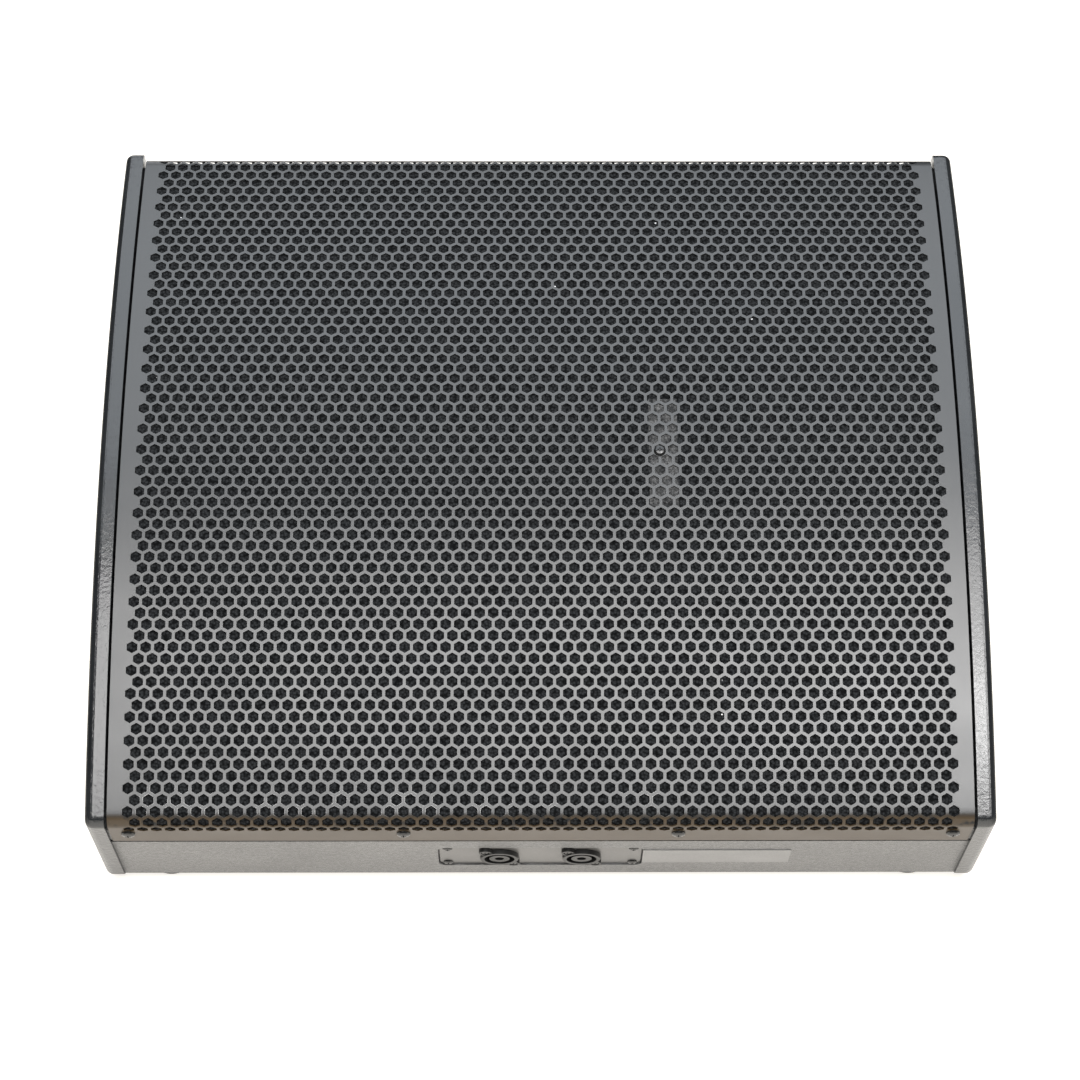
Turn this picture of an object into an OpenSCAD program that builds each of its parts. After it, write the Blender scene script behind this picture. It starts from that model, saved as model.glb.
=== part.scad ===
// Stage monitor wedge: a two-way loudspeaker that lies on the floor and points up at a performer.
// +Z is up, the front faces -Y, and the origin is under the middle of the body, on the floor.

/* [Cabinet] */
// Overall width across the two side panels
body_w = 596; // [560:1:640]
// Thickness of each side panel
side_t = 13; // [12:0.5:18]
// Thickness of the kick, base, rear, top and baffle panels
ply_t = 15; // [12:1:18]
// Depth from the nose edge to the rear panel
body_d = 493; // [480:1:520]
// How far the side panels stand proud of the curved face
proud = 3; // [2:0.5:5]
// How far they stand proud of the kick panel and of the top and rear panels
proud_flat = 2.5; // [2:0.5:4]
// Radius of the round on the outer edge of each side panel
edge_r = 5.5; // [2:0.5:6]
// Radius of the lower and rear corners of the side panels, seen from the side
corner_r = 14; // [8:1:20]

/* [Sloping face] */
// Straight distance from the nose edge to the top edge
face_chord = 504.5; // [490:0.5:512]
// Angle of that straight line above the floor
face_tilt = 35; // [32:0.5:38]
// Half of the angle that the convex face turns through
arc_half = 15.2; // [12:0.1:18]
// Length of the kick panel under the nose, square to the face line
kick_len = 110.4; // [108:0.2:120]
// How far the front of the baffle lies below the straight face line
baffle_drop = 14; // [13:1:16]

/* [Grille] */
// Thickness of the steel sheet
grille_t = 1; // [0.8:0.1:2]
// Outer radius of its bend at the nose
bend_r = 10; // [9:0.5:12]
// Outer radius of its bend at the top edge
crest_r = 12; // [9:0.5:12]
// Length of the plain lips turned down at the nose and at the top
lip_len = 34.6; // [30:0.2:38]
// Gap between the grille and each side panel
grille_gap = 1.5; // [1:0.5:3]
// Thickness of the acoustic foam behind it
foam_t = 8; // [6:0.5:9]
// Distance of the lip screws below the sharp edge
lip_screw_t = 18; // [16:0.5:20]
// Distance between neighbouring lip screws
lip_screw_pitch = 181; // [170:1:184]

/* [Grille support] */
// Sideways place of the screw that holds the middle of the grille
post_x = 81; // [79:1:84]
// Place of the same screw along the face line
post_u = 253.6; // [240:0.2:270]
// Sideways place of the middle of the block under it
block_x = 83.5; // [80:0.5:86]
// Width of the block
post_w = 18; // [12:1:20]
// Length of the block along the face
post_l = 79; // [60:1:90]
// Thickness that the foam is pressed to between the block and the grille
pressed_t = 2; // [1.5:0.5:4]

/* [Connector plate] */
// Width of the plate
plate_w = 136; // [130:1:140]
// Height of the plate
plate_h = 37; // [35:1:40]
// Thickness of the plate
plate_t = 2; // [1.5:0.5:2.5]
// Distance of its middle below the nose edge, down the kick panel
plate_down = 74; // [72:0.5:76]
// Distance between the centres of the two sockets
socket_pitch = 55.5; // [50:0.5:60]
// How far the plate lies below the paint around it
plate_sunk = 1.2; // [0.5:0.1:2]

/* [Woofer] */
// Sideways place of the woofer
woofer_x = -112; // [-116:1:-110]
// Place of the woofer along the face line
woofer_u = 248; // [240:1:256]
// Outer radius of the basket's front flange
woofer_r = 157.5; // [155:0.5:158]
// How far the cone travels each way
cone_travel = 6; // [2:0.5:7]

/* [Horn and driver] */
// Sideways place of the horn
horn_x = 185; // [183:1:188]
// Place of the horn along the face line
horn_u = 336; // [330:1:345]
// Side of the square horn flange
horn_w = 172; // [165:1:176]
// Depth of the horn behind the baffle front
horn_depth = 75; // [70:1:85]

/* [Feet and handles] */
// Height of a rubber foot
foot_h = 8; // [6:0.5:10]
// Sideways place of the feet
foot_x = 255; // [240:1:260]
// Length of the hand opening in a side panel
grip_l = 112; // [100:1:120]
// Height of the hand opening
grip_h = 42; // [38:1:46]
// Depth of the handle cup
grip_depth = 44; // [40:1:46]

/* [Hidden] */

$fn = 64;
gap = 0.05;                                   // clearance of a screw shank in its hole
inner_w = body_w - 2*side_t;
grille_w = inner_w - 2*grille_gap;
mid_u = face_chord/2;
face_r = face_chord/(2*sin(arc_half));
arc_v0 = -face_r*cos(arc_half);               // height of the face arc's centre over the face line
foam_gap = 0.1;                               // between the steel and the foam
foam_low = 11;                                // lower edge of the foam under the nose edge
foam_end = 60;                                // angle on the top bend where the foam stops
base_z = -kick_len*cos(face_tilt);            // underside of the base, below the nose edge
panel_top = -14;                              // upper edges of kick and top panels on the face axes
nose_r = 8;                                   // nose corner of a side panel
top_r = 6;                                    // its corner at the top of the curved face
side_e = grille_t - proud_flat;               // front edge of a side panel on the face axes
nose_front = at(side_e + nose_r, corner_v(nose_r))[0] - nose_r;
shift_y = -(nose_front + body_d + proud_flat)/2;
shift_z = foot_h - base_z;
kick_in = grille_t + ply_t;                   // inner face of the kick panel on the face axes
top_in = face_chord - grille_t - ply_t;       // inner face of the top panel on the face axes
baffle_back = -baffle_drop - ply_t;
grip_y = 332;                                 // middle of a handle, behind the nose edge
grip_z = 112;                                 // middle of a handle, above the nose edge
grip_flange = 2.6;                            // thickness of the handle cup's flange
grip_sunk = 2;                                // depth of that flange under the paint
label_w = 99.5;
label_h = 27;
label_low = 86;                               // lower edge of the label below the nose edge
flange_t = 2.8;                               // thickness of a socket's flange
ear_x = 9.5;                                  // places of its two ears, to the side and up or down
ear_y = 12;
ear_r = 4.2;
plate_gap = 1;                                // space round the connector plate in its recess
groove_w = 5;                                 // shadow groove in the kick panel under the grille's lip
groove_d = 2;
cutout_r = 142;                               // woofer cut-out in the baffle
port_r = 34;
port_list = [[140, 96], [226, 96]];           // sideways and along-face places of the two ports
board = [150, 345];                           // middle of the crossover board on the base
board_size = [160, 104, 1.6];
board_z = base_z + ply_t + 8;
foot_front = 88;                              // middles of the front and rear feet behind the nose edge
foot_back = 455;

// Point that lies u along the face line and v outwards from it, as depth and height from the nose edge
function at(u, v) = [u*cos(face_tilt) - v*sin(face_tilt), u*sin(face_tilt) + v*cos(face_tilt)];

function turn(centre, r, a0, a1, n) =
    [for (i = [0:n]) centre + r*[cos(a0 + (a1 - a0)*i/n), sin(a0 + (a1 - a0)*i/n)]];

// Height over the face line of the centre of a grille bend of radius r, and the angle where it ends
function bend_v(r) = arc_v0 + sqrt(pow(face_r - r, 2) - pow(mid_u - r, 2));
function bend_a(r) = atan2(bend_v(r) - arc_v0, r - mid_u);

// Curved face between its two bends, at a depth e under the outer skin, on the face axes
function face_curve(e, n_bend = 8, n_arc = 44) = concat(
    turn([bend_r, bend_v(bend_r)], bend_r - e, 180, bend_a(bend_r), n_bend),
    turn([mid_u, arc_v0], face_r - e, bend_a(bend_r), 180 - bend_a(crest_r), n_arc),
    turn([face_chord - crest_r, bend_v(crest_r)], crest_r - e, 180 - bend_a(crest_r), 0, n_bend));

function skin_path(e, lip) = concat([[e, -lip]], face_curve(e), [[face_chord - e, -lip]]);
function reversed(list) = [for (i = [len(list) - 1:-1:0]) list[i]];
function skin_band(e0, e1, lip) = concat(skin_path(e0, lip), reversed(skin_path(e1, lip)));
function unit(v) = v/norm(v);

// Corner c between points p and q, rounded to radius r
function fillet(p, c, q, r, n = 6) =
    let (d1 = unit(p - c), d2 = unit(q - c), half = acos(d1*d2)/2)
    let (m = c + unit(d1 + d2)*r/sin(half), s = c + d1*r/tan(half) - m, e = c + d2*r/tan(half) - m)
    let (a0 = atan2(s[1], s[0]), a1 = atan2(e[1], e[0]))
    let (sweep = a1 - a0 > 180 ? a1 - a0 - 360 : a1 - a0 < -180 ? a1 - a0 + 360 : a1 - a0)
    turn(m, r, a0, a0 + sweep, n);

// Height of the centre of a side panel's corner of radius r over the face line, and the angle where it ends
function corner_v(r) = arc_v0 + sqrt(pow(face_r + proud - r, 2) - pow(mid_u - side_e - r, 2));
function corner_a(r) = atan2(corner_v(r) - arc_v0, side_e + r - mid_u);

// Front edge of a side panel from nose to top, drawn in by i, on the face axes
function side_curve(i, n_bend = 8, n_arc = 44) = concat(
    turn([side_e + nose_r, corner_v(nose_r)], nose_r - i, 180, corner_a(nose_r), n_bend),
    turn([mid_u, arc_v0], face_r + proud - i, corner_a(nose_r), 180 - corner_a(top_r), n_arc),
    turn([face_chord - side_e - top_r, corner_v(top_r)], top_r - i, 180 - corner_a(top_r), 0, n_bend));

// Outline of a side panel seen from the side, drawn in by i all round
function side_outline(i) =
    let (e = side_e + i, back_y = body_d + proud_flat - i, low_z = base_z + i)
    let (far_u = face_chord - e, front_low = at(e, (low_z - e*sin(face_tilt))/cos(face_tilt)))
    let (back_low = [back_y, low_z], back_high = at(far_u, (far_u*cos(face_tilt) - back_y)/sin(face_tilt)))
    let (front_top = at(e, corner_v(nose_r)), back_top = at(far_u, corner_v(top_r)))
    concat(
        [for (p = side_curve(i)) at(p[0], p[1])],
        fillet(back_top, back_high, back_low, corner_r),
        fillet(back_high, back_low, front_low, corner_r),
        fillet(back_low, front_low, front_top, corner_r - edge_r));

function round_rect(w, h, r, n = 6) = concat(
    turn([w/2 - r, h/2 - r], r, 0, 90, n), turn([r - w/2, h/2 - r], r, 90, 180, n),
    turn([r - w/2, r - h/2], r, 180, 270, n), turn([w/2 - r, r - h/2], r, 270, 360, n));

// Smooth route through hand-placed points
function spline_at(a, b, c, d, t) =
    0.5*(2*b + (c - a)*t + (2*a - 5*b + 4*c - d)*t*t + (3*b - a - 3*c + d)*t*t*t);
function smooth(p, n = 4) = concat(
    [for (i = [0:len(p) - 2], k = [0:n - 1])
        spline_at(p[max(i - 1, 0)], p[i], p[i + 1], p[min(i + 2, len(p) - 1)], k/n)],
    [p[len(p) - 1]]);

module wire(route, r, sides = 8) {
    p = smooth(route);
    last = len(p) - 1;
    ring = [for (i = [0:last])
        let (t = unit(p[min(i + 1, last)] - p[max(i - 1, 0)]), n = unit(cross(t, [0.21, -0.97, 0.12])))
        let (b = cross(t, n))
        for (k = [0:sides - 1]) p[i] + r*(cos(360*k/sides)*n + sin(360*k/sides)*b)];
    walls = [for (i = [0:last - 1], k = [0:sides - 1]) let (j = (k + 1)%sides)
        [i*sides + k, (i + 1)*sides + k, (i + 1)*sides + j, i*sides + j]];
    ends = [[for (k = [0:sides - 1]) k], [for (k = [sides - 1:-1:0]) last*sides + k]];
    polyhedron(ring, concat(walls, ends));
}

module place() translate([0, shift_y, shift_z]) children();
module on_face(x = 0, u = 0, v = 0) place() rotate([face_tilt, 0, 0]) translate([x, u, v]) children();
module on_baffle(x, u) on_face(x, u, -baffle_drop) children();
module on_kick(x, down) on_face(x, grille_t, -down) rotate([90, 0, 0]) children();
module on_top_lip(x, down) on_face(x, face_chord - grille_t, -down) rotate([-90, 0, 0]) children();
module on_side(side) place() mirror([side < 0 ? 1 : 0, 0, 0])
    translate([body_w/2, grip_y, grip_z]) rotate([90, 0, 90]) children();
module across(w) translate([-w/2, 0, 0]) rotate([90, 0, 90]) linear_extrude(w) children();
module ring(r_in, r_out, h) difference() {
    cylinder(r = r_out, h = h);
    translate([0, 0, -1]) cylinder(r = r_in, h = h + 2);
}
module bore(r, z0, z1) translate([0, 0, z0]) cylinder(r = r, h = z1 - z0);

// Round-headed screw, seated at z = 0 and driven down -Z, with a cross recess
module pan_screw(head_r, head_h, shank_r, length) difference() {
    union() {
        rotate_extrude() polygon(concat([[0, 0], [head_r, 0]],
            [for (a = [0:22.5:90]) [head_r*cos(a), head_h*(0.3 + 0.7*sin(a))]]));
        translate([0, 0, -length]) cylinder(r = shank_r, h = length + 0.1);
    }
    for (a = [0, 90]) rotate(a) translate([0, 0, head_h])
        cube([head_r*0.8, head_r*0.18, head_h*1.1], center = true);
}

/* ---- cabinet ---- */
module side_panel(side) color("#26272a") difference() {
    place() mirror([side < 0 ? 1 : 0, 0, 0]) translate([inner_w/2, 0, 0]) rotate([90, 0, 90]) hull()
        for (a = [0:15:90]) linear_extrude(side_t - edge_r*(1 - sin(a)))
            polygon(side_outline(edge_r*(1 - cos(a))));
    on_side(side) {
        translate([0, 0, -grip_flange - grip_sunk]) linear_extrude(9)
            polygon(round_rect(grip_l + 40, grip_h + 36, 12));
        translate([0, 0, -side_t - 1]) linear_extrude(side_t + 2)
            polygon(round_rect(grip_l + 8, grip_h + 8, 17));
    }
    handle_holes(side);
}
module side_panel_left() side_panel(-1);
module side_panel_right() side_panel(1);

module handle_screw_places(side) on_side(side)
    for (x = [-1, 1], y = [-1, 1]) translate([x*(grip_l/2 + 12), y*(grip_h/2 + 9), -grip_sunk])
        children();
module handle_holes(side) handle_screw_places(side) bore(1.8 + gap, -10, 3);

module plate_pocket(grow) on_kick(0, plate_down) translate([0, 0, -plate_t - plate_sunk])
    linear_extrude(12) polygon(round_rect(plate_w + 2*grow, plate_h + 2*grow, 5));
module plate_screw_places() on_kick(0, plate_down) translate([0, 0, -plate_sunk])
    for (x = [-1, 1], y = [-1, 1]) translate([x*(plate_w/2 - 5.4), y*(plate_h/2 - 3.6), 0]) children();
module lip_screw_places() for (i = [-1.5:1:1.5]) {
    on_kick(i*lip_screw_pitch, lip_screw_t) translate([0, 0, grille_t]) children();
    on_top_lip(i*lip_screw_pitch, lip_screw_t) translate([0, 0, grille_t]) children();
}

module kick_panel() color("#2a2a2b") difference() {
    place() across(inner_w) polygon([
        at(grille_t, panel_top), at(kick_in, panel_top),
        at(kick_in, (base_z - kick_in*sin(face_tilt))/cos(face_tilt)),
        at(grille_t, (base_z - grille_t*sin(face_tilt))/cos(face_tilt))]);
    plate_pocket(plate_gap);
    on_kick(0, lip_len) translate([-inner_w/2 - 1, -groove_w, -groove_d]) cube([inner_w + 2, groove_w, 10]);
    on_kick(0, plate_down) translate([0, 0, -ply_t - 2]) linear_extrude(ply_t + 3)
        polygon(round_rect(plate_w - 22, plate_h - 8, 5));
    plate_screw_places() bore(1.6 + gap, -12, 2);
    lip_screw_places() bore(2 + gap, -13.5, 3);
}

module base_panel() color("#2a2a2b") difference() {
    place() across(inner_w) polygon([
        at(kick_in, (base_z - kick_in*sin(face_tilt))/cos(face_tilt)),
        at(kick_in, (base_z + ply_t - kick_in*sin(face_tilt))/cos(face_tilt)),
        [body_d - ply_t, base_z + ply_t], [body_d - ply_t, base_z]]);
    foot_places() bore(2.4 + gap, -0.1, 13);
    crossover_places() bore(1.7 + gap, -21, 0);
}

module rear_panel() color("#2a2a2b") place() across(inner_w) polygon([
    [body_d, base_z], at(top_in, (top_in*cos(face_tilt) - body_d)/sin(face_tilt)),
    at(top_in, (top_in*cos(face_tilt) - body_d + ply_t)/sin(face_tilt)), [body_d - ply_t, base_z]]);

module top_panel() color("#2a2a2b") difference() {
    place() across(inner_w) polygon([
        at(top_in, panel_top), at(top_in + ply_t, panel_top),
        at(top_in + ply_t, ((top_in + ply_t)*cos(face_tilt) - body_d)/sin(face_tilt)),
        at(top_in, (top_in*cos(face_tilt) - body_d)/sin(face_tilt))]);
    lip_screw_places() bore(2 + gap, -13.5, 3);
}

module baffle() color("#1c1c1d") difference() {
    on_face(0, kick_in, baffle_back) translate([-inner_w/2, 0, 0])
        cube([inner_w, top_in - kick_in, ply_t]);
    on_baffle(woofer_x, woofer_u) bore(cutout_r, -ply_t - 1, 1);
    on_baffle(horn_x, horn_u) translate([0, 0, -ply_t - 1]) linear_extrude(ply_t + 2)
        square(horn_w - 26, center = true);
    for (p = port_list) on_baffle(p[0], p[1]) bore(port_r + 3 + gap, -ply_t - 1, 1);
    woofer_screw_places() bore(2.9 + gap, -ply_t - 6, 1);
    horn_screw_places() bore(2.2 + gap, -ply_t - 6, 1);
    on_baffle(post_x, post_u) bore(2.1 + gap, -ply_t - 1, 1);
}

module baffle_battens() color("#b08d5b") for (x = [-inner_w/2, inner_w/2 - 18])
    on_face(x, kick_in, baffle_back - 18) cube([18, top_in - kick_in, 18]);

// Timber strips in the lower corners: two at the kick panel, either side of the sockets, and one at the rear
module corner_cleats() color("#b08d5b") {
    for (side = [-1, 1]) translate([side*(plate_w + inner_w - 40)/4, 0, 0])
        place() across((inner_w - 40 - plate_w)/2) polygon([
            at(kick_in, (base_z + ply_t - kick_in*sin(face_tilt))/cos(face_tilt)),
            at(kick_in, (base_z + ply_t + 20 - kick_in*sin(face_tilt))/cos(face_tilt)),
            at(kick_in, (base_z + ply_t - kick_in*sin(face_tilt))/cos(face_tilt)) + [26, 0]]);
    place() across(inner_w - 40) polygon([
        [body_d - ply_t, base_z + ply_t], [body_d - ply_t - 22, base_z + ply_t],
        [body_d - ply_t, base_z + ply_t + 22]]);
}

module damping_pads() color("#e6e4dc") place() {
    translate([-210, body_d - ply_t - 22, base_z + ply_t + 26]) cube([420, 22, 190]);
    translate([-230, 190, base_z + ply_t]) cube([250, 210, 20]);
}

module port_tubes() color("#1b1b1c") for (p = port_list) on_baffle(p[0], p[1]) {
    translate([0, 0, -90]) ring(port_r, port_r + 3, 90);
    ring(port_r, port_r + 8, 2.5);
}

/* ---- grille ---- */
module grille() color("#3a3b3d") difference() {
    on_face() across(grille_w) polygon(skin_band(0, grille_t, lip_len));
    lip_screw_places() bore(2.3, -3, 3);
    on_baffle(post_x, post_u) bore(2.4, 30, 80);
}

// Foam sheet behind the grille: round the nose bend, up the curved face and a little way into the top bend
function foam_side(e) = concat([[e, -foam_low]],
    turn([bend_r, bend_v(bend_r)], bend_r - e, 180, bend_a(bend_r), 8),
    turn([mid_u, arc_v0], face_r - e, bend_a(bend_r), 180 - bend_a(crest_r), 44),
    turn([face_chord - crest_r, bend_v(crest_r)], crest_r - e, 180 - bend_a(crest_r), foam_end, 2));
module grille_foam() color("#111112") difference() {
    on_face() across(grille_w - 4) polygon(concat(
        foam_side(grille_t + foam_gap), reversed(foam_side(grille_t + foam_t))));
    support_space(0.5, pressed_t);
    on_baffle(post_x, post_u) bore(2.4, 30, 80);
}

// Space over the baffle for the support block, up to a distance under the inside of the grille
module support_space(grow, under) intersection() {
    on_baffle(block_x, post_u) translate([-post_w/2 - grow, -post_l/2 - grow, 0])
        cube([post_w + 2*grow, post_l + 2*grow, 90]);
    on_face() across(inner_w) polygon(skin_path(grille_t + under, baffle_drop));
}

// Timber block whose top follows the curve of the grille, with pressed foam between them
module grille_support_block() color("#5c5d5e") difference() {
    support_space(0, pressed_t);
    on_baffle(post_x, post_u) bore(2.1 + gap, -1, 80);
}

module grille_centre_screw() color("#1a1a1b")
    on_face(post_x, post_u, post_top() + grille_t) pan_screw(4, 2.4, 2.1, 26);
function post_top() = arc_v0 + sqrt(pow(face_r - grille_t, 2) - pow(post_u - mid_u, 2));

module grille_lip_screws() color("#1a1a1b") lip_screw_places() pan_screw(4.6, 2.6, 2, 13);

/* ---- woofer ---- */
coil_r = 32.4;                                // outside of the voice coil former
surround_in = 121;
surround_out = 141;
spider_w = 53.5;
plate_top_z = -88;                            // front of the woofer's top plate behind the baffle front
top_plate_t = 8;
coil_h = top_plate_t + 2*cone_travel;         // the coil fills the gap over the whole travel
coil_z = plate_top_z - (top_plate_t + coil_h)/2;
module on_woofer() on_baffle(woofer_x, woofer_u) children();
module woofer_screw_places() on_woofer() for (a = [22.5:45:360]) rotate(a)
    translate([149.5, 0, 4]) children();

module woofer_basket() color("#202124") difference() {
    on_woofer() difference() {
        rotate_extrude() polygon([
            [138, 0], [woofer_r, 0], [woofer_r, 4], [136.5, 4], [134, -14], [78, -76],
            [74, plate_top_z + 3], [35, plate_top_z + 3], [35, plate_top_z], [77, plate_top_z],
            [81, -77], [137, -15.4]]);
        for (a = [0:60:300]) rotate(a) basket_window();
    }
    woofer_screw_places() bore(3.2, -8, 3);
}

// Opening between two arms of the basket
module basket_window() intersection() {
    rotate_extrude() polygon([[88, -95], [88, -50], [122, -10], [150, -24], [150, -95]]);
    rotate([0, 0, -19]) linear_extrude(200, center = true) polygon([
        [0, 0], [200, 0], [200*cos(19), 200*sin(19)], [200*cos(38), 200*sin(38)]]);
}

module woofer_gasket() color("#2c2a28") difference() {
    on_woofer() translate([0, 0, 4]) ring(surround_out + 0.5, woofer_r - 1, 3);
    woofer_screw_places() bore(6.2, -1, 6);
}

module woofer_surround() color("#141414") on_woofer() rotate_extrude() polygon(concat(
    [for (i = [0:32]) [surround_in + (surround_out - surround_in)*i/32, roll_z(i/32) + 0.8]],
    [for (i = [32:-1:0]) [surround_in + (surround_out - surround_in)*i/32, roll_z(i/32)]]));
function roll_z(t) = 4 + 5*pow(sin(360*t), 2)*(t > 0.04 && t < 0.96 ? 1 : 0);

module woofer_cone() color("#1d1c1b") on_woofer() rotate_extrude() polygon(concat(
    [for (i = [0:12]) [coil_r + (surround_in - coil_r - 0.1)*i/12, cone_z(i/12) + 1.4]],
    [for (i = [12:-1:0]) [coil_r + (surround_in - coil_r - 0.1)*i/12, cone_z(i/12)]]));
function cone_z(t) = -52 + 56*pow(t, 0.85);

module woofer_dust_cap() color("#1b1b1b") on_woofer() rotate_extrude() polygon(concat(
    [for (i = [0:8]) [48*i/8, cap_z(i/8) + 1]],
    [for (i = [8:-1:0]) [48*i/8, cap_z(i/8)]]));
function cap_z(t) = cone_z((48 - coil_r)/(surround_in - coil_r)) + 1.4 + 14*(1 - t*t);

module woofer_voice_coil() color("#b87333") on_woofer() translate([0, 0, coil_z]) {
    ring(coil_r - 0.6, coil_r, cone_z(0) + 1.2 - coil_z);
    ring(coil_r, coil_r + 0.8, coil_h);
}

module woofer_spider() color("#c8a25c") on_woofer() rotate_extrude() polygon(concat(
    [for (i = [0:40]) [coil_r + 0.05 + spider_w*i/40, spider_z(i/40) + 0.7]],
    [for (i = [40:-1:0]) [coil_r + 0.05 + spider_w*i/40, spider_z(i/40)]]));
function spider_z(t) = -67 + 1.8*sin(360*5*t)*(t > 0.08 && t < 0.92 ? 1 : 0);

module woofer_top_plate() color("#77797c") on_woofer() translate([0, 0, plate_top_z - top_plate_t])
    ring(coil_r + 1.4, 74, top_plate_t);
module woofer_magnet() color("#3b3b3d") on_woofer() translate([0, 0, plate_top_z - 28]) ring(46, 80, 20);
module woofer_back_plate() color("#77797c") on_woofer() difference() {
    union() {
        translate([0, 0, plate_top_z - 36]) cylinder(r = 74, h = 8);
        translate([0, 0, plate_top_z - 29]) cylinder(r = coil_r - 1.2, h = 29);
    }
    bore(12, plate_top_z - 40, plate_top_z + 5);
}
module woofer_terminals() color("#c0a030") on_woofer() rotate(30) translate([105.5, -11, -62]) {
    cube([3, 22, 12]);
    for (y = [2, 15]) translate([3, y, 4]) cube([9, 5, 4]);
}
module woofer_screws() color("#1a1a1b") woofer_screw_places() pan_screw(5.5, 3.2, 2.9, 21);

/* ---- horn and compression driver ---- */
throat_r = 12.7;
driver_z = -horn_depth - 6;                   // rear of the horn's mounting ring behind the baffle front
module on_horn() on_baffle(horn_x, horn_u) children();
driver_seat = driver_z + 6.4;                 // face under the heads of the driver's screws
module horn_screw_places() on_horn() for (x = [-1, 1], y = [-1, 1])
    translate([x*(horn_w/2 - 7), y*(horn_w/2 - 7), 5]) children();
module driver_screw_places() on_horn() for (a = [45:90:315]) rotate(a)
    translate([34, 0, driver_seat]) children();

// Square slice of the horn's flare, t from the throat at 0 to the mouth at 1
module flare_slice(t, wall) translate([0, 0, -horn_depth*(1 - t)])
    linear_extrude(0.2) polygon(round_rect(flare_w(t) + 2*wall, flare_w(t) + 2*wall, throat_r + wall - 0.1));
function flare_w(t) = 2*throat_r + (horn_w - 36 - 2*throat_r)*pow(t, 1.7);

module horn() color("#19191a") difference() {
    on_horn() difference() {
        union() {
            linear_extrude(5) polygon(round_rect(horn_w, horn_w, 10));
            for (t = [0:0.34:0.9]) hull() {
                flare_slice(t, 3);
                flare_slice(min(t + 0.34, 1), 3);
            }
            translate([0, 0, driver_z]) cylinder(r = 42, h = 6.4);
        }
        for (t = [0:0.34:0.9]) hull() {
            flare_slice(t, 0);
            flare_slice(t + 0.34 < 1 ? t + 0.34 : 1.08, 0);
        }
        bore(throat_r, driver_z - 1, -horn_depth + 2);
    }
    horn_screw_places() bore(2.5, -8, 3);
    driver_screw_places() bore(2.6, -8, 3);
}
module horn_screws() color("#1a1a1b") horn_screw_places() pan_screw(4.4, 2.6, 2.2, 20);

module driver_front_plate() color("#77797c") difference() {
    on_horn() translate([0, 0, driver_z - 10]) difference() {
        cylinder(r = 42, h = 10);
        bore(throat_r, -1, 11);
    }
    driver_screw_places() bore(2 + gap, -16.2, 3);
}
module driver_phase_plug() color("#8a8c90") on_horn() translate([0, 0, driver_z - 26]) difference() {
    cylinder(r = 21, h = 16);
    bore(throat_r, 6, 20);
    bore(3, -1, 20);
}
module driver_magnet() color("#3b3b3d") on_horn() translate([0, 0, driver_z - 28]) ring(27, 43, 18);
module driver_diaphragm() color("#9aa0a6") on_horn() translate([0, 0, driver_z - 28]) {
    rotate_extrude() polygon(concat(
        [for (a = [0:6:42]) [34*sin(a), 26.6 - 34*cos(a)]],
        [for (a = [42:-6:0]) [34.5*sin(a), 26.6 - 34.5*cos(a)]]));
    translate([0, 0, -1.2]) ring(22.2, 22.8, 8);
    translate([0, 0, 1]) ring(22.2, 26.6, 0.4);
}
module driver_cover() color("#222326") on_horn() translate([0, 0, driver_z - 28]) difference() {
    translate([0, 0, -18]) cylinder(r = 41, h = 18);
    bore(28, -14, 1);
}
module driver_screws() color("#1a1a1b") driver_screw_places() pan_screw(3.8, 2.2, 2, 15.8);

/* ---- crossover ---- */
module crossover_places() place() for (x = [-1, 1], y = [-1, 1]) translate([
    board[0] + x*(board_size[0]/2 - 6), board[1] + y*(board_size[1]/2 - 6), board_z + board_size[2]])
    children();
module crossover_board() color("#2f5d3a") difference() {
    place() translate([board[0], board[1], board_z + board_size[2]/2]) cube(board_size, center = true);
    crossover_places() bore(2, -3, 1);
}
module on_board(x, y) place() translate([board[0] + x, board[1] + y, board_z + board_size[2]]) children();
module crossover_coils() color("#b4672a") {
    on_board(-46, 20) ring(11, 25, 20);
    on_board(8, 24) ring(8, 18, 16);
    on_board(46, -20) ring(8, 18, 16);
}
module crossover_capacitors() color("#2b4f8c") for (x = [-52, -28, -4])
    on_board(x, -42) translate([0, 0, 9]) rotate([-90, 0, 0]) cylinder(r = 9, h = 34);
module crossover_resistor() color("#e9e5da") on_board(48, 0) cube([12, 46, 11]);
module crossover_standoffs() color("#d8d4c6") crossover_places()
    translate([0, 0, -board_size[2] - 8]) ring(1.7 + gap, 4, 8);
module crossover_screws() color("#9a9a9a") crossover_places() pan_screw(3.2, 2, 1.7, 20);

/* ---- connector plate ---- */
module socket_screw_places() for (s = [-1, 1]) on_kick(s*socket_pitch/2, plate_down)
    for (d = [-1, 1]) translate([d*ear_x, -d*ear_y, flange_t - 1.2 - plate_sunk]) children();
module connector_plate() color("#2c2d30") difference() {
    on_kick(0, plate_down) translate([0, 0, -plate_t - plate_sunk]) linear_extrude(plate_t)
        polygon(round_rect(plate_w, plate_h, 5));
    for (s = [-1, 1]) on_kick(s*socket_pitch/2, plate_down) bore(12, -8, 3);
    socket_screw_places() bore(1.5 + gap, -9, 1);
    plate_screw_places() bore(1.8, -4, 1);
}
module plate_screws() color("#0f0f10") plate_screw_places() pan_screw(3.25, 1.6, 1.6, 12);

// Round flange with an ear for each of its two screws
module socket_flange() {
    cylinder(r = 13, h = flange_t);
    for (a = [0, 180]) rotate(a + atan2(-ear_y, ear_x)) {
        translate([0, -ear_r, 0]) cube([norm([ear_x, ear_y]), 2*ear_r, flange_t]);
        translate([norm([ear_x, ear_y]), 0, 0]) cylinder(r = ear_r, h = flange_t);
    }
}

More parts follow.
